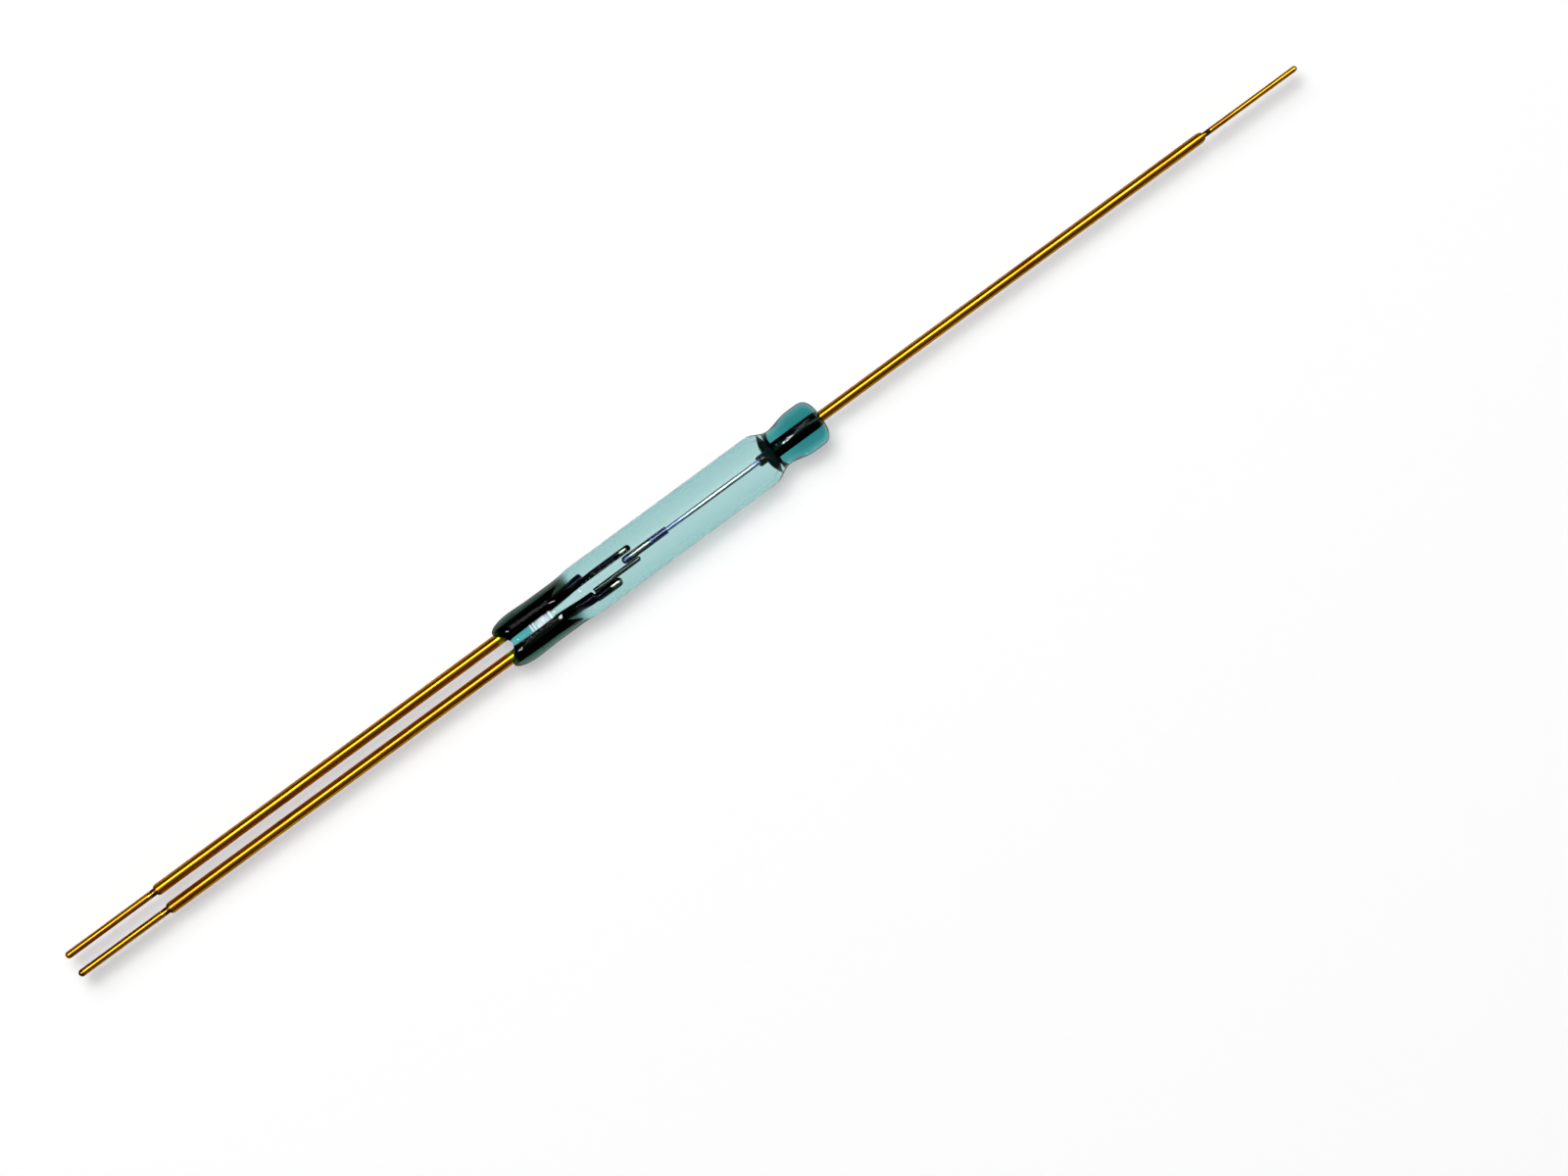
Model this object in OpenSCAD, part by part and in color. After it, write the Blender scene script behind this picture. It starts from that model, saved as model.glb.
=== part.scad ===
// Changeover reed switch: a flexing reed between two fixed contacts, sealed in a tinted glass tube.
// X runs along the glass toward the common lead, Y across the contacts toward the normally open
// lead, and Z is up. The origin is on the glass axis, at the middle of the straight tube.

/* [Glass tube] */
// Outside diameter of the straight tube
glass_d = 2.4; // [2.2:0.05:3]
// Wall thickness of the straight tube
glass_wall = 0.3; // [0.2:0.01:0.36]
// Length of the straight tube between its two seals
tube_l = 9.2; // [8.5:0.1:12]

/* [Seal at the common lead] */
// Length of the seal, from the straight tube to the glass end
common_seal_l = 3.3; // [3:0.05:4]
// Diameter of the neck where the glass was drawn in
neck_d = 1.72; // [1.5:0.01:2]
// Distance from the straight tube to the neck
neck_at = 1.05; // [0.8:0.05:1.2]
// Diameter of the solid bulb beyond the neck
bulb_d = 2.11; // [1.9:0.01:2.3]
// Distance from the straight tube to the thickest part of the bulb
bulb_at = 2.2; // [1.8:0.05:2.4]
// Length over which the end of the bulb rounds off
bulb_round = 0.7; // [0.4:0.05:1]
// Height, above the lead, of the glass bead that closes the cavity
bead_h = 0.42; // [0.36:0.01:0.46]
// Length by which that bead stands into the cavity
bead_l = 0.43; // [0.3:0.01:0.5]
// Distance from the straight tube to the foot of that bead
bead_at = 0.78; // [0.7:0.01:0.85]

/* [Seal at the fixed leads] */
// Length of the seal, from the straight tube to the outer glass edge
fixed_seal_l = 4.25; // [4:0.05:5]
// Width of the seal at its end
fixed_seal_w = 2.28; // [2.1:0.01:2.4]
// Width of the waist next to the tube
waist_w = 2.22; // [2.05:0.01:2.3]
// Length over which the round tube is pressed into two lobes
pinch_l = 2.1; // [1.8:0.05:2.5]
// Length over which the end of each lobe rounds off
nose_l = 1.05; // [0.6:0.05:1.4]
// Depth of the notch in the glass end between the leads
notch_depth = 0.5; // [0.2:0.05:0.7]
// Length of the tail of the cavity between the leads
cavity_tail = 2.75; // [2:0.05:2.9]

/* [Leads] */
// Wire diameter of the two fixed leads
fixed_d = 0.52; // [0.45:0.01:0.56]
// Wire diameter of the common lead
common_d = 0.48; // [0.42:0.01:0.56]
// Distance between the two fixed leads, centre to centre
lead_pitch = 0.95; // [0.9:0.01:1.05]
// Length of the fixed leads outside the glass
fixed_lead_l = 22.7; // [10:0.1:30]
// Length of the common lead outside the glass
common_lead_l = 25.06; // [10:0.02:30]
// Length of the pressed tag at the end of a fixed lead
fixed_tag_l = 4.7; // [3:0.1:6]
// Thickness of the pressed tag of a fixed lead
fixed_tag_t = 0.32; // [0.2:0.01:0.4]
// Width of the pressed tag of a fixed lead
fixed_tag_w = 0.76; // [0.6:0.01:1]
// Length of the pressed tag at the end of the common lead
common_tag_l = 4.88; // [3:0.02:6]
// Thickness of the pressed tag of the common lead
common_tag_t = 0.24; // [0.18:0.01:0.36]
// Width of the pressed tag of the common lead
common_tag_w = 0.8; // [0.6:0.01:1]
// Length over which a wire widens into its pressed tag or blade
flare_l = 0.45; // [0.3:0.05:0.8]
// Corner radius where the press left the full wire
wire_corner = 0.1; // [0.05:0.01:0.12]
// Length of the shoulder between a fixed lead's wire and its tag
fixed_shoulder_l = 0.16; // [0.1:0.01:0.3]
// Length of the shoulder between the common lead's wire and its tag
common_shoulder_l = 0.3; // [0.1:0.01:0.4]
// Width of the shear notch in the tip of the normally open lead
tip_notch = 0.2; // [0.1:0.01:0.24]

/* [Contacts] */
// Thickness of the armature
armature_t = 0.33; // [0.28:0.01:0.36]
// Width of the armature
armature_w = 0.9; // [0.7:0.01:1]
// Length of the armature
armature_l = 2.33; // [2:0.01:3]
// Thickness of the leaf spring
leaf_t = 0.21; // [0.14:0.01:0.23]
// Width of the leaf spring
leaf_w = 0.86; // [0.6:0.01:0.9]
// Depth of the slot that holds the leaf in the common lead
stub_slot = 0.16; // [0.1:0.01:0.3]
// Depth of the slot that holds the leaf in the armature
armature_slot = 0.6; // [0.3:0.05:0.9]
// Length of the common lead that stands in the cavity
stub_l = 0.38; // [0.36:0.01:0.6]
// Gap to the normally open contact at rest
contact_gap = 0.055; // [0.05:0.001:0.08]
// Clearance left to the normally closed contact at rest
rest_clearance = 0.005; // [0.003:0.001:0.01]
// Length of armature that lies over the normally open contact
contact_overlap = 0.64; // [0.4:0.01:0.9]
// Thickness of the normally open blade
open_blade_t = 0.27; // [0.22:0.01:0.32]
// Width of the normally open blade
open_blade_w = 0.86; // [0.7:0.01:0.95]
// Length of the normally open blade
open_blade_l = 2.41; // [2:0.01:3]
// Thickness of the normally closed blade
closed_blade_t = 0.38; // [0.3:0.01:0.42]
// Width of the normally closed blade
closed_blade_w = 0.64; // [0.5:0.01:0.8]
// Length of the normally closed blade
closed_blade_l = 1.32; // [1:0.01:1.8]
// Thickness of the contact strip on the normally closed blade
strip_t = 0.22; // [0.16:0.01:0.25]
// Width of the contact strip
strip_w = 0.8; // [0.6:0.01:0.9]
// Length of the contact strip
strip_l = 2.42; // [2:0.01:3]

/* [Hidden] */
$fn = 96;
tube_r = glass_d / 2;
cavity_r = tube_r - glass_wall;
tube_end = tube_l / 2;
common_end = tube_end + common_seal_l;
fixed_end = -tube_end - fixed_seal_l;
half_pitch = lead_pitch / 2;

// The loft sinks this far inside the tube where the two meet
bite = 0.01;
bite_l = 0.2;

// How far the shoulders of the fixed leads reach into the straight tube, and the strip past them
shoulder_in = 0.27;
strip_in = 0.08;
shoulder_x = -tube_end + shoulder_in;
open_tip = shoulder_x + open_blade_l;
armature_tip = open_tip - contact_overlap;
armature_rear = armature_tip + armature_l;
strip_start = shoulder_x + strip_in;
closed_tip = shoulder_x + closed_blade_l;

// The bead meets the lead here, and the stub stands out of it
bead_face = tube_end + bead_at - bead_l;
stub_x = bead_face - stub_l;

// Faces across the contacts
armature_face = armature_t / 2;
open_y = armature_face + contact_gap + open_blade_t / 2;
strip_y = -armature_face - rest_clearance - strip_t / 2;
closed_y = strip_y - strip_t / 2 - closed_blade_t / 2;

// Lobes of the pressed seal, with a softened valley between them
valley_soft = 0.6;
lobe_r = fixed_seal_w / 2 - half_pitch * sqrt(1 + pow(valley_soft, 2));
rim_share = 0.7;
waist_l = 0.8;
notch_dip = 0.1;

// Where the neck starts to narrow, and how blunt the end of the bulb is
neck_start = 0.1;
bulb_power = 2.9;

// How far the tail of the cavity narrows along its length, and where its last ring lies
tail_taper = 0.4;
tail_last = 0.985;

// A pressed end starts this many corner radii inside the wire, at this share of its diameter
press_root = 1.5;
press_neck = 0.9;
press_slice = 0.02;

loft_turns = 40;
loft_rings = 16;
bore_rings = 12;
nose_rings = 6;

gold = [0.93, 0.7, 0.12];
silver = [0.85, 0.86, 0.88];
dark_metal = [0.25, 0.25, 0.3];
teal_glass = [0.5, 0.76, 0.74, 0.45];

function smooth(a, b, x) =
    let (t = max(0, min(1, (x - a) / (b - a)))) t * t * (3 - 2 * t);

// Radius of the glass at a distance s past the tube on the side of the common lead
function bulb_radius(s) =
    let (t = max(0, (s - common_seal_l + bulb_round) / bulb_round),
         neck = (neck_d - glass_d) / 2 * smooth(neck_start, neck_at, s),
         bulb = (bulb_d - neck_d) / 2 * smooth(neck_at, bulb_at, s))
    (tube_r + neck + bulb) * pow(1 - pow(t, bulb_power), 1 / bulb_power);

// Half width of the pressed seal at a distance s past the tube
function seal_half_width(s) =
    tube_r + (waist_w - glass_d) / 2 * smooth(0, waist_l, s)
    + (fixed_seal_w - waist_w) / 2 * smooth(pinch_l, fixed_seal_l - nose_l, s);

// Outline of two fused lobes, as a radius at angle a from Y
function lobes(a) =
    half_pitch * sqrt(pow(cos(a), 2) + pow(valley_soft, 2))
    + sqrt(pow(lobe_r, 2) - pow(half_pitch * sin(a), 2));

// Radius of the pressed seal at angle a and distance s
function seal_radius(a, s) =
    let (t = max(0, (s - fixed_seal_l + nose_l) / nose_l),
         nose = rim_share + (1 - rim_share) * sqrt(max(0, 1 - t * t)))
    seal_half_width(s) * nose * (1 + (lobes(a) / lobes(0) - 1) * smooth(0, pinch_l, s));

// Half height and half width of the cavity's tail at a distance s past the tube
function tail_height(s) =
    (seal_radius(90, s) - glass_wall) * sqrt(max(0, 1 - pow(s / cavity_tail, 2)));
function tail_width(s) =
    (seal_half_width(s) - glass_wall) * (1 - tail_taper * s / cavity_tail);

// Distances past the tube at which the seal's rings lie, closer together round the nose
seal_steps = concat(
    [for (i = [0 : loft_rings]) (fixed_seal_l - nose_l) * i / loft_rings],
    [for (i = [1 : nose_rings]) fixed_seal_l - nose_l * (1 - sin(90 * i / nose_rings))]);
tail_steps = [for (i = [0 : loft_rings]) cavity_tail * tail_last * sin(90 * i / loft_rings)];

function seal_ring(s) =
    [for (j = [0 : loft_turns - 1])
        let (a = 360 * j / loft_turns,
             run = s * (1 - notch_depth / fixed_seal_l * pow(sin(a), 2)),
             r = seal_radius(a, s) - (s <= 0 ? bite : 0))
        [-tube_end - run, r * cos(a), r * sin(a)]];

function tail_ring(s) =
    let (sink = s <= 0 ? bite : 0)
    [for (j = [0 : loft_turns - 1])
        let (a = 360 * j / loft_turns)
        [-tube_end - s, (tail_width(s) - sink) * cos(a), (tail_height(s) - sink) * sin(a)]];

// Solid through rings of equal size, closed by a flat start and by a point at the end
module loft(rings, tip) {
    n = len(rings[0]);
    m = len(rings);
    points = concat([for (ring = rings) each ring], [tip]);
    sides = [for (k = [0 : m - 2], j = [0 : n - 1])
        let (a = k * n + j, b = k * n + (j + 1) % n)
        each [[a, b, b + n], [a, b + n, a + n]]];
    start = [[for (j = [n - 1 : -1 : 0]) j]];
    end = [for (j = [0 : n - 1]) [(m - 1) * n + j, (m - 1) * n + (j + 1) % n, m * n]];
    polyhedron(points, concat(sides, start, end));
}

// A section drawn in Y and Z, run along X
module along_x(x0, x1)
    translate([x0, 0, 0]) rotate([90, 0, 90]) linear_extrude(x1 - x0) children();

// A profile drawn as radius and length, turned about the X axis
module about_x(x0)
    translate([x0, 0, 0]) rotate([0, 90, 0]) rotate_extrude() children();

// Section of wire pressed flat: its edges stay round
module pressed(t, w) {
    square([t, w - t], center = true);
    for (side = [-1, 1]) translate([0, side * (w - t) / 2]) circle(d = t);
}

// Round wire whose two ends have rounded corners, each of its own length
module wire(x0, x1, d, start_l, end_l) {
    r = d / 2;
    run = x1 - x0;
    about_x(x0) {
        square([r - wire_corner, run]);
        translate([0, start_l]) square([r, run - start_l - end_l]);
        translate([r - wire_corner, start_l]) scale([wire_corner, start_l]) circle(1);
        translate([r - wire_corner, run - end_l]) scale([wire_corner, end_l]) circle(1);
    }
}

// Pressed bar along X with a full round tip at its far end
module pressed_bar(x0, x1, t, w) {
    along_x(x0, x1 - t / 2) pressed(t, w);
    translate([x1 - t / 2, 0, 0]) {
        translate([0, 0, -(w - t) / 2]) cylinder(d = t, h = w - t);
        for (side = [-1, 1]) translate([0, 0, side * (w - t) / 2]) sphere(d = t);
    }
}

// Pressed end of a wire: it widens out of the wire and then runs to a round tip
module pressed_end(x0, x1, t, w, d) {
    root = x0 - wire_corner * press_root;
    hull() {
        along_x(root, root + press_slice) pressed(t, d * press_neck, $fn = 32);
        along_x(x0 + flare_l, x0 + flare_l + press_slice) pressed(t, w, $fn = 32);
    }
    pressed_bar(x0 + flare_l, x1, t, w);
}

// Fixed lead on its own axis: the round wire and the pressed tag outside the glass
module fixed_wire() {
    tip = fixed_end - fixed_lead_l;
    wire(tip + fixed_tag_l, shoulder_x, fixed_d, fixed_shoulder_l, wire_corner);
    mirror([1, 0, 0])
        pressed_end(-tip - fixed_tag_l, -tip, fixed_tag_t, fixed_tag_w, fixed_d);
}

module cavity() {
    about_x(-tube_end) difference() {
        polygon(concat(
            [[0, 0], [cavity_r, 0]],
            [for (i = [0 : bore_rings])
                let (s = bead_at * i / bore_rings)
                [bulb_radius(s) - glass_wall, tube_l + s]],
            [[0, tube_l + bead_at]]));
        translate([common_d / 2, tube_l + bead_at]) scale([bead_h, bead_l]) circle(1);
    }
    loft(concat([[for (p = tail_ring(0)) [p[0] + bite_l, p[1], p[2]]]],
                [for (s = tail_steps) tail_ring(s)]),
         [-tube_end - cavity_tail, 0, 0]);
}

module glass_envelope() color(teal_glass) {
    steps = 36;
    difference() {
        union() {
            about_x(-tube_end) polygon(concat(
                [[0, 0], [tube_r, 0]],
                [for (i = [0 : steps])
                    let (s = common_seal_l * sin(90 * i / steps))
                    [bulb_radius(s), tube_l + s]]));
            loft(concat([[for (p = seal_ring(0)) [p[0] + bite_l, p[1], p[2]]]],
                        [for (s = seal_steps) seal_ring(s)]),
                 [fixed_end + notch_depth + notch_dip, 0, 0]);
        }
        cavity();
        about_x(bead_face - bead_l) square([common_d / 2, common_seal_l + bead_l]);
        for (side = [-1, 1])
            translate([0, side * half_pitch, 0])
                about_x(fixed_end - 1) square([fixed_d / 2, shoulder_x - fixed_end + 1]);
    }
}

module common_lead() color(gold) {
    tip = common_end + common_lead_l;
    difference() {
        wire(stub_x, tip - common_tag_l, common_d, wire_corner, common_shoulder_l);
        translate([stub_x - 1, -leaf_t / 2, -common_d])
            cube([stub_slot + 1, leaf_t, common_d * 2]);
    }
    pressed_end(tip - common_tag_l, tip, common_tag_t, common_tag_w, common_d);
}

module reed_spring() color(silver)
    along_x(armature_rear - armature_slot, stub_x + stub_slot) pressed(leaf_t, leaf_w);

module armature() color(dark_metal)
    difference() {
        mirror([1, 0, 0]) pressed_bar(-armature_rear, -armature_tip, armature_t, armature_w);
        translate([armature_rear - armature_slot, -leaf_t / 2, -armature_w])
            cube([armature_slot + 1, leaf_t, armature_w * 2]);
    }

module normally_open_lead() color(gold)
    difference() {
        union() {
            translate([0, half_pitch, 0]) fixed_wire();
            translate([0, open_y, 0])
                pressed_end(shoulder_x, open_tip, open_blade_t, open_blade_w, fixed_d);
        }
        translate([fixed_end - fixed_lead_l, half_pitch, 0])
            rotate([0, 0, 45])
                cube([tip_notch / sqrt(2), tip_notch / sqrt(2), fixed_tag_w * 2], center = true);
    }

module normally_closed_lead() color(gold) {
    translate([0, -half_pitch, 0]) fixed_wire();
    translate([0, closed_y, 0])
        pressed_end(shoulder_x, closed_tip, closed_blade_t, closed_blade_w, fixed_d);
}

module contact_strip() color(dark_metal)
    translate([0, strip_y, 0]) pressed_bar(strip_start, strip_start + strip_l, strip_t, strip_w);

glass_envelope();
common_lead();
reed_spring();
armature();
normally_open_lead();
normally_closed_lead();
contact_strip();
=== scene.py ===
"""Changeover reed switch: a flexing reed and two fixed contacts, sealed in a tinted glass tube.

X runs along the glass toward the common lead, Y across the contacts toward the normally open lead,
and Z is up. Sizes and places on the switch are in millimetres and turned to metres where a mesh is
made. The table and the lamps are in metres.
"""

import math

import bpy
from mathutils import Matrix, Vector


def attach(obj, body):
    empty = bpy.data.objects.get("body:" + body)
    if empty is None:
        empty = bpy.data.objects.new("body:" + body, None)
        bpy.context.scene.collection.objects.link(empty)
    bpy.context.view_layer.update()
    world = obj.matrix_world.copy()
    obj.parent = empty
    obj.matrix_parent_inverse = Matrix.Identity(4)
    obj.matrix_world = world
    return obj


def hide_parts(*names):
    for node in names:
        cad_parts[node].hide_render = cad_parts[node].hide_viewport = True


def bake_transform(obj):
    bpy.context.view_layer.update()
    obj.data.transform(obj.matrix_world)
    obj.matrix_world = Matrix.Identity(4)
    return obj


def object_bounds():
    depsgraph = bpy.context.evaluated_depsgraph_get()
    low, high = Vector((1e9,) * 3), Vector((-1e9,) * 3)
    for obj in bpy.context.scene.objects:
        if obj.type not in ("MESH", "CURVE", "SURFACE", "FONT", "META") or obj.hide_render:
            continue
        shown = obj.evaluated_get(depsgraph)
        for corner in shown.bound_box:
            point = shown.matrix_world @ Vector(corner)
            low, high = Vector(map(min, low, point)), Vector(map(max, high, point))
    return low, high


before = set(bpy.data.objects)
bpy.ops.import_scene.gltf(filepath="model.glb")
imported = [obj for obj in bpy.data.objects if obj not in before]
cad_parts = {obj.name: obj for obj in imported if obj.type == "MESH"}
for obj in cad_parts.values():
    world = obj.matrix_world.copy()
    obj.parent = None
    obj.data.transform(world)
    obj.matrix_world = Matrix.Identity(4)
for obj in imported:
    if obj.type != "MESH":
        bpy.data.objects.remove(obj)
cad_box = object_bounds()

# Leads: nickel-iron wires, drawn round and pressed flat at their ends into a solder tag outside the
# glass and, on the pair, a contact blade inside. The oxide that the glass wets stays dark in the
# seals, and what stands outside is gold plated after sealing.
MM = 0.001
QUARTER = math.pi / 2
FULL = 2 * math.pi


class Gauge:
    """A value known at each point of a piece: one socket of a node tree, so sums read as sums."""

    def __init__(self, tree, socket=None):
        self.tree = tree
        self.socket = socket

    def node(self, kind, settings, sockets, output=0):
        """Adds a node: its settings first, then the values or links of its sockets."""
        made = self.tree.nodes.new(kind)
        for name, value in settings.items():
            setattr(made, name, value)
        for name, value in sockets.items():
            if isinstance(value, Gauge):
                self.tree.links.new(value.socket, made.inputs[name])
            else:
                made.inputs[name].default_value = value
        return Gauge(self.tree, made.outputs[output])

    def maths(self, operation, *terms):
        return self.node("ShaderNodeMath", {"operation": operation}, dict(enumerate(terms)))

    def __add__(self, other):
        return self.maths("ADD", self, other)

    __radd__ = __add__

    def __sub__(self, other):
        return self.maths("SUBTRACT", self, other)

    def __rsub__(self, other):
        return self.maths("SUBTRACT", other, self)

    def __mul__(self, other):
        return self.maths("MULTIPLY", self, other)

    __rmul__ = __mul__

    def __truediv__(self, other):
        return self.maths("DIVIDE", self, other)

    def __rtruediv__(self, other):
        return self.maths("DIVIDE", other, self)

    def __pow__(self, other):
        return self.maths("POWER", self, other)

    def __abs__(self):
        return self.maths("ABSOLUTE", self)

    def sin(self):
        return self.maths("SINE", self)

    def cos(self):
        return self.maths("COSINE", self)

    def arcsin(self):
        return self.maths("ARCSINE", self)

    def sign(self):
        return self.maths("SIGN", self)

    def root(self):
        return self.maths("SQRT", self.maths("MAXIMUM", self, 0.0))

    def ramp(self, low, high, form="LINEAR"):
        """0 below low, 1 above high."""
        ends = {"Value": self, "From Min": low, "From Max": high}
        return self.node("ShaderNodeMapRange", {"interpolation_type": form}, ends)

    def smooth(self, low, high):
        return self.ramp(low, high, "SMOOTHSTEP")

    def band(self, low, high, soft=0.02):
        """1 between two values, with soft ends."""
        return self.smooth(low - soft, low + soft) * self.smooth(high + soft, high - soft)

    def mix(self, first, second):
        """One colour where this is 0 and the other where it is 1."""
        tints = {0: self, 6: first, 7: second}
        return self.node("ShaderNodeMix", {"data_type": "RGBA"}, tints, 2)

    def split(self):
        return [self.node("ShaderNodeSeparateXYZ", {}, {0: self}, axis) for axis in "XYZ"]

    def times(self, factors):
        scale = {"operation": "MULTIPLY"}
        return self.node("ShaderNodeVectorMath", scale, {0: self, 1: factors})

    def noise(self, scale, detail=2.0):
        grain = {"Vector": self, "Scale": scale, "Detail": detail}
        return self.node("ShaderNodeTexNoise", {}, grain)

    def bump(self, strength, depth):
        relief = {"Strength": strength, "Distance": depth, "Height": self}
        return self.node("ShaderNodeBump", {}, relief)


def stages(along, counts):
    """How far each stage of a piece is done, 0 to 1, when its rings are laid one after another."""
    total = sum(counts.values())
    done = 0
    found = {}
    for name, rings in counts.items():
        found[name] = along.ramp(done / total, (done + rings) / total)
        done += rings
    return found


def forming_tree(name, size_names, skins):
    """A tree that bends flat grids into one piece: each rule gives x, y and z in mm."""
    tree = bpy.data.node_groups.new(name, "GeometryNodeTree")
    tree.interface.new_socket("Mesh", in_out="OUTPUT", socket_type="NodeSocketGeometry")
    for size in size_names:
        tree.interface.new_socket(size, in_out="INPUT", socket_type="NodeSocketFloat")
    tree.interface.new_socket("Material", in_out="INPUT", socket_type="NodeSocketMaterial")
    given = tree.nodes.new("NodeGroupInput")
    sizes = {size: Gauge(tree, given.outputs[size]) for size in size_names}
    bench = Gauge(tree)
    joined = tree.nodes.new("GeometryNodeJoinGeometry")
    for counts, turns, rule, side in skins:
        rings = sum(counts.values())
        grid = {"Vertices X": rings + 1, "Vertices Y": turns + 1, "Size X": 1.0, "Size Y": 1.0}
        flat = bench.node("GeometryNodeMeshGrid", {}, grid)
        across, around, _ = bench.node("GeometryNodeInputPosition", {}, {}).split()
        turn = (around + 0.5 + 0.5 / turns) * (-FULL * side)
        x, y, z = rule(stages(across + 0.5, counts), turn, sizes)
        place = bench.node("ShaderNodeCombineXYZ", {}, {"X": x * MM, "Y": y * MM, "Z": z * MM})
        skin = bench.node("GeometryNodeSetPosition", {}, {"Geometry": flat, "Position": place})
        seam = {"Geometry": skin, "Distance": 0.0001 * MM}
        closed = bench.node("GeometryNodeMergeByDistance", {}, seam)
        tree.links.new(closed.socket, joined.inputs[0])
    whole = Gauge(tree, joined.outputs[0])
    even = bench.node("GeometryNodeSetShadeSmooth", {}, {"Geometry": whole})
    real = bench.node("GeometryNodeRealizeInstances", {}, {"Geometry": even})
    finish = {"Geometry": real, "Material": Gauge(tree, given.outputs["Material"])}
    coated = bench.node("GeometryNodeSetMaterial", {}, finish)
    tree.links.new(coated.socket, tree.nodes.new("NodeGroupOutput").inputs["Mesh"])
    return tree


def formed(name, tree, sizes, material):
    """A plain mesh made by a forming tree at the given sizes."""
    piece = bpy.data.objects.new(name, bpy.data.meshes.new(name))
    bpy.context.scene.collection.objects.link(piece)
    maker = piece.modifiers.new("forming", "NODES")
    maker.node_group = tree
    for item in tree.interface.items_tree:
        if item.in_out == "INPUT":
            maker[item.identifier] = material if item.name == "Material" else float(sizes[item.name])
    ready = piece.evaluated_get(bpy.context.evaluated_depsgraph_get())
    mesh = bpy.data.meshes.new_from_object(ready)
    piece.modifiers.clear()
    piece.data = mesh
    return piece


def finish_bench(name):
    """A new material with an empty tree, and the point on the piece in millimetres."""
    material = bpy.data.materials.new(name)
    material.use_nodes = True
    material.node_tree.nodes.clear()
    bench = Gauge(material.node_tree)
    point = bench.node("ShaderNodeTexCoord", {}, {}, "Object").times((1000.0, 1000.0, 1000.0))
    return material, bench, point


def show(bench, surface, volume=None):
    out = bench.tree.nodes.new("ShaderNodeOutputMaterial")
    bench.tree.links.new(surface.socket, out.inputs["Surface"])
    if volume is not None:
        bench.tree.links.new(volume.socket, out.inputs["Volume"])


LEAD_RINGS = {"notch": 6, "tip": 12, "tag": 6, "flare": 14, "corner": 12, "wire": 8,
              "shoulder": 12, "spread": 14, "blade": 6, "end": 12}
LEAD_SIZES = ("Tip", "Direction", "Wire Y", "Wire", "Wire Length", "Corner", "Shoulder", "Flare",
              "Tag Length", "Tag Thickness", "Tag Width", "Notch", "Crest",
              "Neck", "Blade Y", "Blade Length", "Blade Spread", "Blade Thickness",
              "Blade Width", "Blade Round")


def pressed_wire(stage, turn, size):
    """A wire with a pressed tag at its start and a pressed blade at its end."""
    radius = size["Wire"] / 2
    tag_half = size["Tag Thickness"] / 2
    tag_side = size["Tag Width"] / 2
    blade_half = size["Blade Thickness"] / 2
    crest = (size["Crest"] / tag_half).arcsin()
    bow = crest + (QUARTER - crest) * stage["tip"]
    corner = stage["corner"] * QUARTER
    shoulder = stage["shoulder"] * QUARTER
    end = stage["end"] * QUARTER
    valley = size["Notch"] - tag_half * (1 - crest.cos())
    run = (
        tag_half * (1 - bow.cos())
        + valley * (1 - stage["notch"])
        + (size["Tag Length"] - tag_half - size["Flare"]) * stage["tag"]
        + size["Flare"] * stage["flare"]
        + size["Shoulder"] * (1 - corner.cos())
        + (size["Wire Length"] - size["Shoulder"] - size["Corner"]) * stage["wire"]
        + size["Corner"] * shoulder.sin()
        + size["Blade Spread"] * stage["spread"]
        + (size["Blade Length"] - size["Blade Spread"] - size["Blade Round"]) * stage["blade"]
        + size["Blade Round"] * end.sin()
    )
    grown = corner.sin()
    pressed = 1 - shoulder.cos()
    half = tag_half * bow.sin() * stage["notch"] + (radius - tag_half) * grown
    half = (half + (blade_half - radius) * pressed) * end.cos()
    flared = stage["flare"].smooth(0.0, 1.0)
    straight = (
        (tag_side - tag_half) * (1 - flared)
        + (radius - tag_half) * (flared - grown)
        + (size["Neck"] / 2 - blade_half) * pressed
        + (size["Blade Width"] - size["Neck"]) / 2 * stage["spread"].smooth(0.0, 1.0)
    )
    side = turn.sin()
    x = size["Tip"] + size["Direction"] * run
    y = size["Wire Y"] + (size["Blade Y"] - size["Wire Y"]) * pressed + half * turn.cos()
    z = size["Direction"] * (half * side + straight * side.sign())
    return x, y, z


lead_tree = forming_tree("pressed_wire", LEAD_SIZES, [(LEAD_RINGS, 64, pressed_wire, 1)])

# ranges along X: the outer faces of the seals, where the gold is full, and the cavity between the seals
bulb_face = (7.82, 7.9)
seal_face = (-8.5, -8.62)
bulb_gold = (7.88, 7.94)
seal_gold = (-8.8, -8.9)
cavity_start = (-5.2, -4.6)
cavity_end = (5.3, 5.0)
open_blade_y = 0.355
closed_blade_y = -0.58

dark_gold = (0.33, 0.128, 0.003, 1)
light_gold = (0.47, 0.202, 0.005, 1)
red_gold = (0.28, 0.100, 0.002, 1)
green_gold = (0.40, 0.36, 0.003, 1)
# painted shade for the creases, and the darker tip of the normally closed tag
crease_shade_and_dark_tip = (0.030, 0.013, 0.001, 1)
# painted highlight for the crests of the blades
crest_highlight_colour = (0.60, 0.53, 0.36, 1)
stub_metal = (0.06, 0.055, 0.055, 1)

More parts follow.
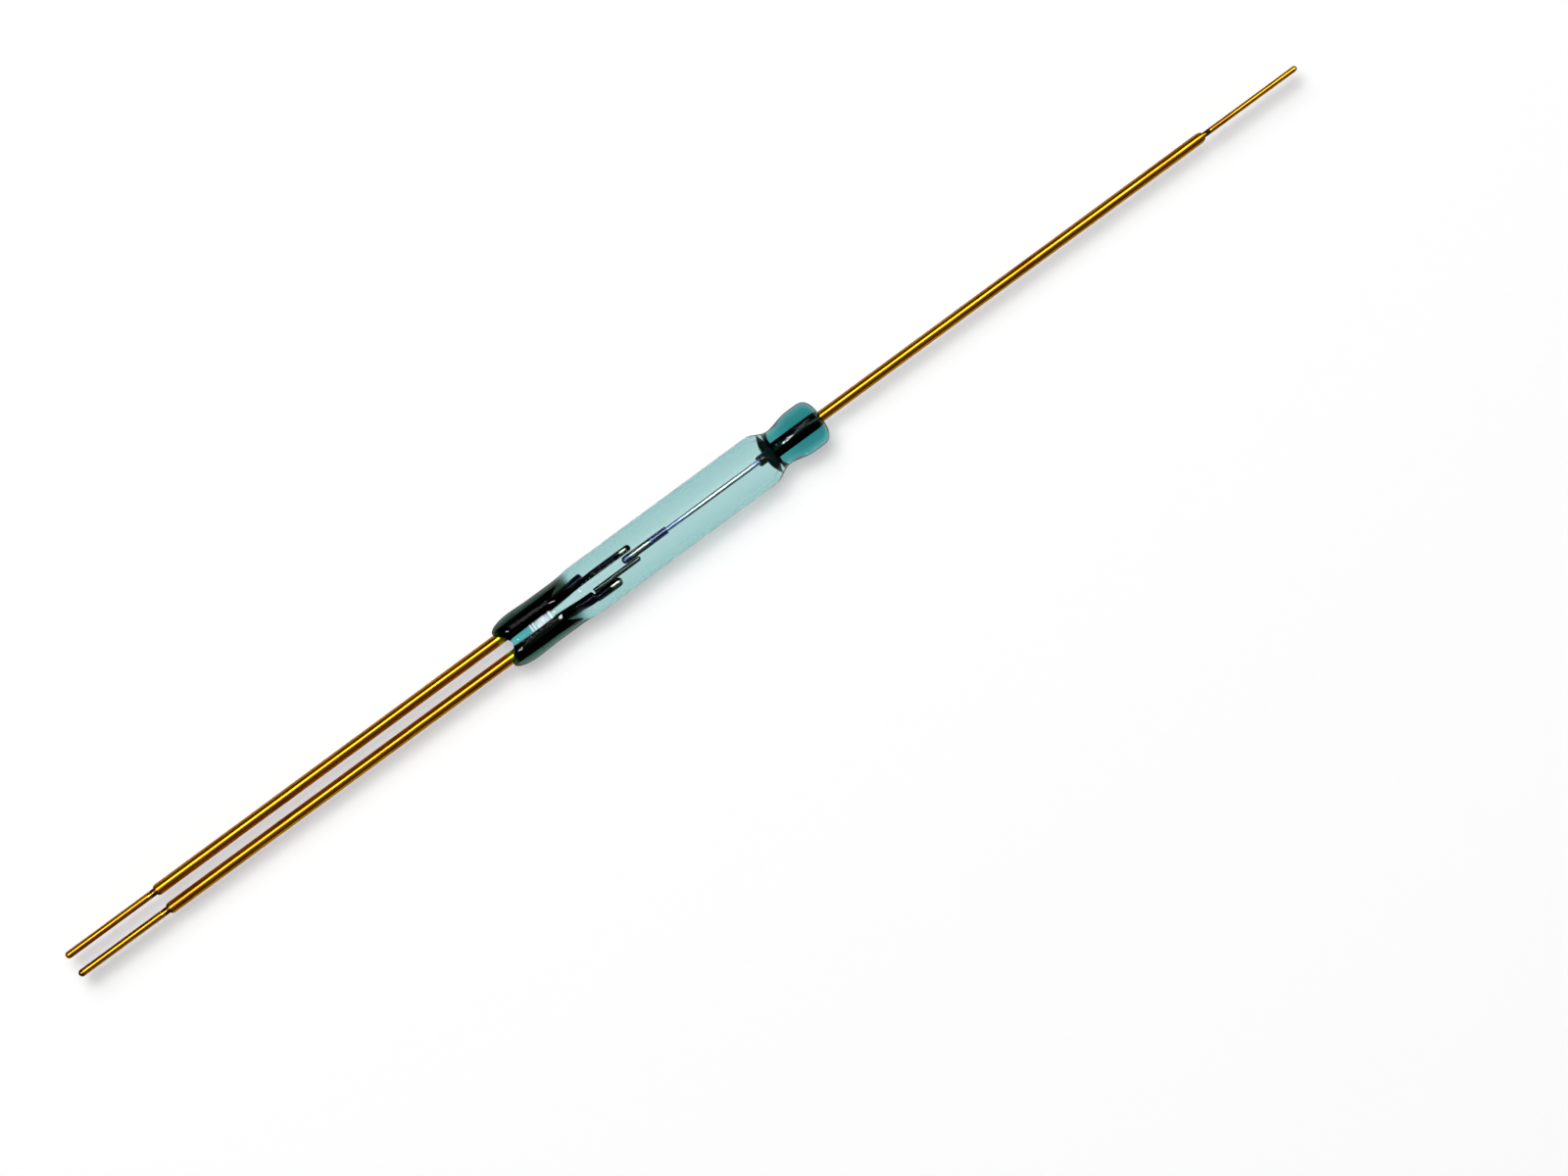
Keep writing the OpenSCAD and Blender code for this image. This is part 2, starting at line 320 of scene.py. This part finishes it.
gold_wire, bench, point = finish_bench("gold_plated_wire")
along_x, across_y, _ = point.split()
outside = along_x.smooth(*bulb_face) + along_x.smooth(*seal_face)
full_gold = along_x.smooth(*bulb_gold) + along_x.smooth(*seal_gold)
inside = along_x.smooth(*cavity_start) * along_x.smooth(*cavity_end)
drawn = point.times((0.25, 14.0, 14.0)).noise(1.0, 3.0)
patches = point.times((0.35, 1.0, 1.0)).noise(1.3, 2.0)
plate = drawn.ramp(0.3, 0.7).mix(dark_gold, light_gold)
plate = patches.smooth(0.52, 0.72).mix(plate, red_gold)
plate = full_gold.mix(green_gold, plate)
# painted shade in the creases where the tags meet their wires, and a darker tip on the normally closed
# tag
crease_shade_and_tip_mask = along_x.band(-27.05, -26.76, 0.05) + along_x.band(28.1, 28.42, 0.08)
crease_shade_and_tip_mask = crease_shade_and_tip_mask + along_x.smooth(-31.25, -31.4) * across_y.smooth(-0.1, -0.2)
plate = (crease_shade_and_tip_mask * 0.85).mix(plate, crease_shade_and_dark_tip)
oxide = patches.mix((0.004, 0.004, 0.004, 1), (0.012, 0.012, 0.010, 1))
blade = drawn.mix((0.006, 0.005, 0.010, 1), (0.015, 0.012, 0.022, 1))
# painted highlight: a bright streak along the crest of each blade near its end
open_crest = abs(across_y - open_blade_y).smooth(0.09, 0.04)
closed_crest = abs(across_y - closed_blade_y).smooth(0.11, 0.05)
crest_highlight_mask = open_crest * along_x.band(-2.42, -2.14, 0.08) + closed_crest * along_x.smooth(-3.64, -3.4)
blade = (crest_highlight_mask * inside).mix(blade, crest_highlight_colour)
blade = along_x.smooth(4.0, 4.3).mix(blade, stub_metal)
shade = outside.mix(inside.mix(oxide, blade), plate)
gloss = 0.12 + drawn * 0.08 + patches * 0.06
metal = {
    "Base Color": shade,
    "Metallic": 1.0,
    "Specular Tint": (0.35, 0.2, 0.05, 1),
    "Roughness": gloss,
    "Normal": (drawn + point.noise(9.0) * 0.3).bump(0.25, 0.006 * MM),
}
show(bench, bench.node("ShaderNodeBsdfPrincipled", {}, metal))

# sizes of the leads, as pressed and as set in the glass
half_pitch = 0.475
fixed_tip = -31.55
common_tip = 32.96
shoulder_x = -4.33
stub_x = 4.57
notch_depth = 0.1
tag_thickness = 0.32
# where the sides of the shear notch meet the round of the tag's tip
reach = tag_thickness / 2 - notch_depth
notch_crest = (-reach + math.sqrt(2 * (tag_thickness / 2) ** 2 - reach ** 2)) / 2
fixed_lead = {
    "Tip": fixed_tip, "Direction": 1.0, "Wire": 0.52, "Wire Length": shoulder_x - fixed_tip - 4.7,
    "Corner": 0.1, "Shoulder": 0.16, "Flare": 0.45, "Tag Length": 4.7, "Tag Thickness": tag_thickness,
    "Tag Width": 0.76, "Neck": 0.5, "Blade Spread": 0.45,
}
open_lead = dict(fixed_lead)
open_lead.update({
    "Wire Y": half_pitch, "Notch": notch_depth, "Crest": notch_crest,
    "Blade Y": open_blade_y, "Blade Length": 2.41, "Blade Thickness": 0.27, "Blade Width": 0.86,
    "Blade Round": 0.135,
})
closed_lead = dict(fixed_lead)
closed_lead.update({
    "Wire Y": -half_pitch, "Notch": 0.0, "Crest": 0.0,
    "Blade Y": closed_blade_y, "Blade Length": 1.32, "Blade Thickness": 0.38, "Blade Width": 0.64,
    "Blade Round": 0.19,
})
common_lead = {
    "Tip": common_tip, "Direction": -1.0, "Wire Y": 0.0, "Wire": 0.48,
    "Wire Length": common_tip - 4.88 - stub_x, "Corner": 0.1, "Shoulder": 0.3, "Flare": 0.45,
    "Tag Length": 4.88, "Tag Thickness": 0.24, "Tag Width": 0.8, "Notch": 0.0, "Crest": 0.0,
    "Neck": 0.28, "Blade Y": 0.0, "Blade Length": 0.0, "Blade Spread": 0.0,
    "Blade Thickness": 0.28, "Blade Width": 0.28, "Blade Round": 0.0,
}
for node, sizes in (("normally_open_lead", open_lead), ("normally_closed_lead", closed_lead),
                    ("common_lead", common_lead)):
    lead = formed(node.replace("_lead", "_wire"), lead_tree, sizes, gold_wire)
    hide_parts(node)
    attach(lead, "capsule")

# Contact strip, leaf spring and armature: bars cut from rolled strip with rounded edges. The strip is
# welded on the normally closed blade, and the thin bright leaf carries the thicker, dark armature.
BAR_RINGS = {"start": 12, "bar": 40, "end": 12}
BAR_SIZES = ("Start", "End", "Y", "Thickness", "Width", "Start Round", "End Round")


def rolled_bar(stage, turn, size):
    """A bar with round edges, whose two ends are round or cut square."""
    start = stage["start"] * QUARTER
    end = stage["end"] * QUARTER
    straight = size["End"] - size["Start"] - size["Start Round"] - size["End Round"]
    run = (
        size["Start Round"] * (1 - start.cos())
        + straight * stage["bar"]
        + size["End Round"] * end.sin()
    )
    half = size["Thickness"] / 2 * start.sin() * end.cos()
    side = turn.sin()
    flat = (size["Width"] - size["Thickness"]) / 2
    x = size["Start"] + run
    return x, size["Y"] + half * turn.cos(), half * side + flat * side.sign()


bar_tree = forming_tree("rolled_bar", BAR_SIZES, [(BAR_RINGS, 48, rolled_bar, 1)])


def rolled_metal(name, dark, light, tint, heats, gloss, middle, crest, face):
    """Rolled strip, tinted where it was heated, with painted shade on its faces: away from its middle
    line it takes the face colour, and only its cut edge stays bright.
    """
    material, bench, point = finish_bench(name)
    along_x, across_y, _ = point.split()
    marks = point.times((0.3, 18.0, 18.0)).noise(1.0, 3.0)
    cloud = point.noise(2.2)
    heated = sum(along_x.smooth(low, high) for low, high in heats)
    off_middle = abs(across_y - middle)
    shade = heated.mix(marks.ramp(0.3, 0.7).mix(dark, light), tint)
    # painted shade: away from the middle line the bar takes the face colour instead of its metal colour
    shade = off_middle.smooth(crest, crest + 0.03).mix(shade, heated.mix(face, tint))
    metal = {
        "Base Color": shade,
        "Metallic": 1.0,
        "Roughness": gloss + marks * 0.10 + cloud * 0.06,
        "Normal": (marks + cloud * 0.4).bump(0.2, 0.004 * MM),
    }
    show(bench, bench.node("ShaderNodeBsdfPrincipled", {}, metal))
    return material


dark_metal = rolled_metal(
    "dark_contact_metal", dark=(0.28, 0.23, 0.20, 1), light=(0.60, 0.51, 0.43, 1),
    tint=(0.12, 0.105, 0.21, 1), heats=[(-1.35, -1.0), (-2.0, -2.25)], gloss=0.18,
    middle=0.0, crest=0.085, face=(0.025, 0.022, 0.03, 1))
strip_metal = rolled_metal(
    "strip_metal", dark=(0.045, 0.036, 0.036, 1), light=(0.125, 0.105, 0.095, 1),
    tint=(0.15, 0.13, 0.12, 1), heats=[(-2.2, -1.95)], gloss=0.2,
    middle=-0.28, crest=0.06, face=(0.06, 0.05, 0.05, 1))
bright_steel = rolled_metal(
    "bright_spring_steel", dark=(0.96, 0.84, 0.88, 1), light=(1.0, 0.92, 0.95, 1),
    tint=(0.34, 0.31, 0.54, 1), heats=[(1.5, 0.1), (4.1, 4.6)], gloss=0.26,
    middle=0.0, crest=0.045, face=(0.06, 0.055, 0.08, 1))

armature_sizes = {"Start": -2.56, "End": -0.23, "Y": 0.0, "Thickness": 0.33, "Width": 0.9,
                  "Start Round": 0.165, "End Round": 0.0}
strip_sizes = {"Start": -4.25, "End": -1.83, "Y": -0.28, "Thickness": 0.22, "Width": 0.8,
               "Start Round": 0.0, "End Round": 0.11}
leaf_sizes = {"Start": -0.83, "End": 4.73, "Y": 0.0, "Thickness": 0.21, "Width": 0.86,
              "Start Round": 0.0, "End Round": 0.0}

strip = formed("closed_contact_strip", bar_tree, strip_sizes, strip_metal)
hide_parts("contact_strip")
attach(strip, "capsule")

armature = formed("swinging_armature", bar_tree, armature_sizes, dark_metal)
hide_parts("armature")
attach(armature, "reed")

leaf = formed("leaf_spring", bar_tree, leaf_sizes, bright_steel)
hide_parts("reed_spring")
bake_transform(leaf)

# Glass: one drawn tube of blue-green, heat-absorbing glass, melted shut round the single lead into a
# neck and a solid bulb, and pressed between the pair into two fused lobes, with no gap at the leads.
# Its colour carries painted shade round the bead, on the lobes and on the rims of the ends, and a painted
# highlight between the lobes.
SHELL_RINGS = {"cap": 14, "nose": 30, "pinch": 44, "tube": 8, "neck": 60, "round": 30}
CAVITY_RINGS = {"tail": 44, "tube": 8, "neck": 14, "bead": 40, "face": 4}
GLASS_SIZES = ("Tube", "Tube Length", "Wall", "Common Seal", "Neck", "Neck At", "Bulb", "Bulb At",
               "Bulb Round", "Bead", "Bead Length", "Bead Edge", "Bead Start", "Bead Stop",
               "Fixed Seal", "Fixed Width", "Waist", "Waist Length", "Pinch", "Nose", "Notch",
               "Tail", "Half Pitch", "Valley", "Rim")
BULB_POWER = 2.9
TAIL_TAPER = 0.4
NECK_START = 0.1
NOTCH_DISH = 0.1


def bulb_radius(s, size):
    """Outer radius at a distance s past the tube, on the side of the single lead."""
    narrowed = (size["Neck"] - size["Tube"]) / 2 * s.smooth(NECK_START, size["Neck At"])
    swollen = (size["Bulb"] - size["Neck"]) / 2 * s.smooth(size["Neck At"], size["Bulb At"])
    t = (s - size["Common Seal"] + size["Bulb Round"]) / size["Bulb Round"]
    rounded = (1 - t.ramp(0.0, 1.0) ** BULB_POWER) ** (1 / BULB_POWER)
    return (size["Tube"] / 2 + narrowed + swollen) * rounded


def seal_half_width(s, size):
    waist = (size["Waist"] - size["Tube"]) / 2 * s.smooth(0.0, size["Waist Length"])
    start = size["Fixed Seal"] - size["Nose"]
    spread = (size["Fixed Width"] - size["Waist"]) / 2 * s.smooth(size["Pinch"], start)
    return size["Tube"] / 2 + waist + spread


def lobes(cosine, sine, size):
    """Outline of two fused lobes, as a share of their half width."""
    lobe = size["Fixed Width"] / 2 - size["Half Pitch"] * (1 + size["Valley"] ** 2.0).root()
    ridge = size["Half Pitch"] * (cosine * cosine + size["Valley"] ** 2.0).root()
    bulge = (lobe * lobe - (size["Half Pitch"] * sine) ** 2.0).root()
    return (ridge + bulge) / (size["Fixed Width"] / 2)


def seal_radius(cosine, sine, s, size):
    t = ((s - size["Fixed Seal"] + size["Nose"]) / size["Nose"]).ramp(0.0, 1.0)
    nose = size["Rim"] + (1 - size["Rim"]) * (1 - t * t).root()
    pressed = s.smooth(0.0, size["Pinch"])
    return seal_half_width(s, size) * nose * (1 + (lobes(cosine, sine, size) - 1) * pressed)


def outer_glass(stage, turn, size):
    cosine = turn.cos()
    sine = turn.sin()
    nose = size["Nose"] * (1 - (stage["nose"] * QUARTER).cos())
    s = size["Fixed Seal"] - nose - (size["Fixed Seal"] - size["Nose"]) * stage["pinch"]
    bulb = (size["Common Seal"] - size["Bulb Round"]) * stage["neck"]
    bulb = bulb + size["Bulb Round"] * (stage["round"] * QUARTER).sin()
    radius = seal_radius(cosine, sine, s, size) + bulb_radius(bulb, size) - size["Tube"] / 2
    radius = radius * stage["cap"]
    ring_x = s * (1 - size["Notch"] / size["Fixed Seal"] * sine * sine)
    middle = size["Fixed Seal"] - size["Notch"] - NOTCH_DISH
    ring_x = ring_x + (middle - ring_x) * stage["cap"].smooth(1.0, 0.0)
    x = bulb + size["Tube Length"] * (stage["tube"] - 0.5) - ring_x
    return x, radius * cosine, radius * sine


def inner_glass(stage, turn, size):
    cosine = turn.cos()
    sine = turn.sin()
    s = size["Tail"] * (stage["tail"] * QUARTER).cos()
    share = s / size["Tail"]
    height = (seal_radius(0.0, 1.0, s, size) - size["Wall"]) * (1 - share * share).root()
    width = (seal_half_width(s, size) - size["Wall"]) * (1 - TAIL_TAPER * share)
    bulb = size["Bead Edge"] * stage["neck"]
    wall = bulb_radius(bulb, size) - size["Tube"] / 2
    bead = size["Bead Start"] + (size["Bead Stop"] - size["Bead Start"]) * stage["bead"]
    fall = size["Bead"] * (bead.cos() - size["Bead Start"].cos())
    lift = size["Bead Length"] * (size["Bead Start"].sin() - bead.sin())
    shrink = 1 - stage["face"]
    x = size["Tube Length"] * (stage["tube"] - 0.5) - s + bulb + lift
    return x, (width + wall + fall) * shrink * cosine, (height + wall + fall) * shrink * sine


glass_sizes = {
    "Tube": 2.4, "Tube Length": 9.2, "Wall": 0.3, "Common Seal": 3.3, "Neck": 1.72, "Neck At": 1.05,
    "Bulb": 2.11, "Bulb At": 2.2, "Bulb Round": 0.7, "Bead": 0.42, "Bead Length": 0.43,
    "Fixed Seal": 4.25, "Fixed Width": 2.28, "Waist": 2.22, "Waist Length": 0.8, "Pinch": 2.1,
    "Nose": 1.05, "Notch": 0.5, "Tail": 2.75, "Half Pitch": half_pitch, "Valley": 0.6, "Rim": 0.7,
}


def neck_bore(s):
    """Radius of the cavity at a distance s past the tube, short of the bead."""
    t = min(1.0, max(0.0, (s - NECK_START) / (glass_sizes["Neck At"] - NECK_START)))
    drop = (glass_sizes["Neck"] - glass_sizes["Tube"]) / 2 * t * t * (3 - 2 * t)
    return glass_sizes["Tube"] / 2 + drop - glass_sizes["Wall"]


bead_at = 0.78
bead_ring = 0.24


def from_bead(s):
    """How far out and back the wall of the cavity lies from the bead's middle, as shares of its round."""
    out = (neck_bore(s) - bead_ring) / glass_sizes["Bead"]
    return out, (bead_at - s) / glass_sizes["Bead Length"]


# the bead starts where its round meets the wall of the cavity, and stops at the lead
edge = 0.3
edge_step = 0.0005
while math.hypot(*from_bead(edge)) > 1:
    edge += edge_step
out, back = from_bead(edge)
lead_share = (common_lead["Wire"] / 2 - bead_ring) / glass_sizes["Bead"]
glass_sizes.update({
    "Bead Edge": edge, "Bead Start": math.atan2(back, out), "Bead Stop": math.acos(lead_share),
})

tinted_glass, bench, point = finish_bench("blue_green_glass")
streaks = point.times((0.15, 2.0, 2.0)).noise(1.0, 2.0)
ripple = point.noise(0.7, 1.0)
along_x, across_y, up_z = point.split()
sideways = abs(across_y)
deep = (across_y * across_y + up_z * up_z).root()
plain = streaks.mix((0.97, 1.0, 0.995, 1), (1.0, 1.0, 1.0, 1))
solid = along_x.smooth(5.35, 5.6) + along_x.smooth(-7.2, -7.6)
plain = solid.mix(plain, (0.48, 0.97, 1.0, 1))
# painted shade: the rims of both ends are darkened in colour where they are seen edge-on
ends = along_x.smooth(4.7, 5.1) + along_x.smooth(-4.8, -5.4)
grazed = bench.node("ShaderNodeLayerWeight", {}, {"Blend": 0.5}, "Facing").smooth(0.62, 0.80) * ends
plain = grazed.mix(plain, (0.02, 0.05, 0.045, 1))
outer = 1 - bench.node("ShaderNodeNewGeometry", {}, {}, "Backfacing")
rim = 0.5 + 0.45 * along_x.smooth(0.5, -0.5)
# painted shade covers both lobes, darker on the normally open side, and leaves the glass between the
# wires clear
lobe_shade_mask = sideways.smooth(0.2, 0.34) * (along_x - 0.15 * across_y).smooth(-4.9, -5.45)
lobe_shade_mask = lobe_shade_mask * (0.75 + 0.5 * ripple)
painted_lobe_shade = across_y.smooth(-0.3, 0.3).mix((0.18, 0.22, 0.17, 1), (0.08, 0.095, 0.06, 1))
# painted shade: a near-black layer on the cavity's wall round the bead, which looks like a dark lens from
# above
bead_shade_mask = (along_x - 0.1 * deep * deep - 0.35 * sideways * sideways).smooth(4.76, 4.80)
bead_shade_mask = bead_shade_mask * (along_x + 0.5 * sideways * sideways).smooth(5.44, 5.38) * deep.smooth(0.88, 0.84)
clear = {
    "Base Color": lobe_shade_mask.mix(plain, painted_lobe_shade),
    "Roughness": 0.01 + 0.02 * streaks,
    "IOR": 1.5,
    "Specular Tint": (0.07, 0.07, 0.07, 1),
    "Transmission Weight": 1.0,
    "Normal": (ripple + streaks * 0.3).bump(0.15, 0.02 * MM),
}
body = bench.node("ShaderNodeBsdfPrincipled", {}, clear)
# painted shade: near-black round the bead and on the rims seen edge-on
painted_dark_shade = bench.node("ShaderNodeBsdfDiffuse", {}, {"Color": (0.004, 0.008, 0.008, 1)})
painted_dark_share = bead_shade_mask + grazed * outer * rim
body = bench.node("ShaderNodeMixShader", {}, {0: painted_dark_share, 1: body, 2: painted_dark_shade})
# painted highlight: a white patch of a wide bar between two narrow ones, on the upper side only
painted_highlight = bench.node("ShaderNodeBsdfDiffuse", {}, {"Color": (0.82, 0.90, 0.96, 1)})
highlight_breaks = point.times((9.0, 1.5, 1.0)).noise(1.0, 3.0)
bars = along_x.band(-7.22, -6.49) * highlight_breaks.ramp(0.25, 0.6)
bars = bars + along_x.band(-7.36, -7.28) + along_x.band(-6.42, -6.29)
bars = bars * sideways.smooth(0.21, 0.13) * up_z.smooth(0.42, 0.5)
body = bench.node("ShaderNodeMixShader", {}, {0: bars * 0.8, 1: body, 2: painted_highlight})
tint = {"Color": (0.094, 0.544, 0.55, 1), "Density": 1600.0}
show(bench, body, bench.node("ShaderNodeVolumeAbsorption", {}, tint))

glass_tree = forming_tree("sealed_tube", GLASS_SIZES, [(SHELL_RINGS, 128, outer_glass, 1),
                                                        (CAVITY_RINGS, 96, inner_glass, -1)])
glass = formed("sealed_glass", glass_tree, glass_sizes, tinted_glass)
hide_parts("glass_envelope")
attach(glass, "capsule")

# Table, light and camera: the switch lies on a white table and is seen from straight above, with its
# axis turned across the picture. A key and a window light it from the upper left, and two small lamps
# only make glints.
scene = bpy.context.scene
scene.view_settings.view_transform = "Standard"

table_half = 3.0
table_z = cad_box[0].z
table = bpy.data.meshes.new("white_table")
corners = [(-table_half, -table_half, table_z), (table_half, -table_half, table_z),
           (table_half, table_half, table_z), (-table_half, table_half, table_z)]
table.from_pydata(corners, [], [(0, 1, 2, 3)])
floor = bpy.data.objects.new("white_table", table)
scene.collection.objects.link(floor)
white, bench, point = finish_bench("white_table_top")
paper = bench.node("ShaderNodeBsdfDiffuse", {}, {"Color": (0.95, 0.95, 0.95, 1)})
glow = bench.node("ShaderNodeEmission", {}, {"Strength": 1.0})
glow_shares = {"Is Camera Ray": 0.44, "Is Glossy Ray": 0.25, "Is Transmission Ray": 0.8}
seen = sum(bench.node("ShaderNodeLightPath", {}, {}, ray) * share for ray, share in glow_shares.items())
show(bench, bench.node("ShaderNodeMixShader", {}, {0: seen, 1: paper, 2: glow}))
table.materials.append(white)

view_turn = math.radians(36.3)
view_centre = (2.32 * MM, -4.95 * MM)
view_width = 66.67 * MM
lens = 150.0
camera_data = bpy.data.cameras.new("overhead")
camera_data.lens = lens
camera_data.sensor_width = 36.0
camera = bpy.data.objects.new("overhead", camera_data)
camera.location = (view_centre[0], view_centre[1], lens / camera_data.sensor_width * view_width)
camera.rotation_euler = (0, 0, -view_turn)
camera_data.clip_start = 0.01
scene.collection.objects.link(camera)
scene.camera = camera


def softbox(name, lean, turn, distance, wide, deep, power):
    """A lamp that leans from straight up toward a compass turn, and faces the switch."""
    lamp = bpy.data.lights.new(name, "AREA")
    lamp.shape = "RECTANGLE"
    lamp.size = wide
    lamp.size_y = deep
    lamp.energy = power
    holder = bpy.data.objects.new(name, lamp)
    holder.rotation_euler = (0, math.radians(lean), math.radians(turn))
    across = math.sin(math.radians(lean)) * distance
    holder.location = (across * math.cos(math.radians(turn)), across * math.sin(math.radians(turn)),
                       math.cos(math.radians(lean)) * distance)
    holder.visible_camera = False
    scene.collection.objects.link(holder)
    return holder


softbox("soft_key", lean=18.0, turn=90.0, distance=0.5, wide=0.22, deep=0.3, power=1.75)
window = softbox("window", lean=32.0, turn=90.0, distance=0.6, wide=0.3, deep=0.3, power=1.6)
window.visible_glossy = False
window.visible_transmission = False
for name, turn in (("right_glint", 15.0), ("left_glint", 165.0)):
    glint = softbox(name, lean=26.0, turn=turn, distance=0.5, wide=0.09, deep=0.09, power=5.0)
    glint.visible_diffuse = False

world = bpy.data.worlds.new("dim_room")
world.use_nodes = True
scene.world = world
world.node_tree.nodes["Background"].inputs["Color"].default_value = (0.1, 0.1, 0.1, 1)
